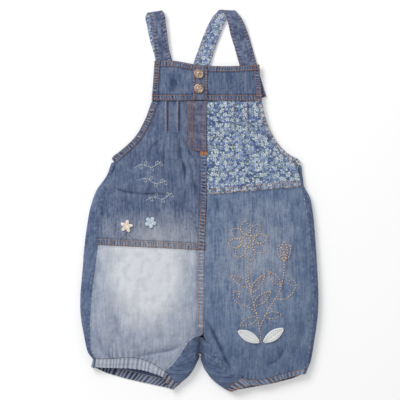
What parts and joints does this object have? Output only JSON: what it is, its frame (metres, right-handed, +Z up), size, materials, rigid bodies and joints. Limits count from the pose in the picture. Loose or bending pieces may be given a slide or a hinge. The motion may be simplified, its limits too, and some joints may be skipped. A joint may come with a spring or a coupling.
{
  "type": "baby's denim shortalls, laid flat",
  "caption": "Patchwork denim and floral shortalls for a baby, laid flat, with a yoke band, folded straps, tack buttons and elastic leg ends.",
  "frame": {"origin": "centre of the bounding box, on the surface that the garment lies on", "axes": "+Z up from that surface to the front of the garment, +Y from the leg ends to the straps, +X to the right as seen from above"},
  "size_m": [0.309, 0.4968, 0.0188],
  "materials": {
    "mid_denim": "washed mid blue denim, worn pale along the seams",
    "washed_denim": "faded mid blue denim",
    "bleached_denim": "denim bleached nearly white at its middle",
    "back_denim": "washed mid blue denim",
    "dark_denim": "darker denim, less washed",
    "floral_cotton": "navy cotton with a small floral print",
    "antique_brass": "antique brass with a copper tone",
    "cream_felt": "cream and peach felt",
    "pale_blue_felt": "pale blue felt",
    "white_felt": "white felt"
  },
  "bodies": {
    "root": {"yoke_band": "mid_denim", "button_placket": "mid_denim", "front_left_upper": "mid_denim", "front_right_leg": "washed_denim", "front_left_leg": "bleached_denim", "casing_left_front": "bleached_denim", "casing_right_front": "washed_denim", "front_right_upper": "floral_cotton", "fly_facing": "dark_denim", "back_left": "back_denim", "back_right": "back_denim", "casing_left_back": "dark_denim", "casing_right_back": "dark_denim", "strap_left_outer": "mid_denim", "strap_right_outer": "mid_denim", "strap_left_lining": "floral_cotton", "strap_right_lining": "floral_cotton", "button_upper": "antique_brass", "button_lower": "antique_brass", "flower_cream": "cream_felt", "flower_blue": "pale_blue_felt", "applique_leaf_left": "white_felt", "applique_leaf_right": "white_felt"}
  },
  "joints": []
}
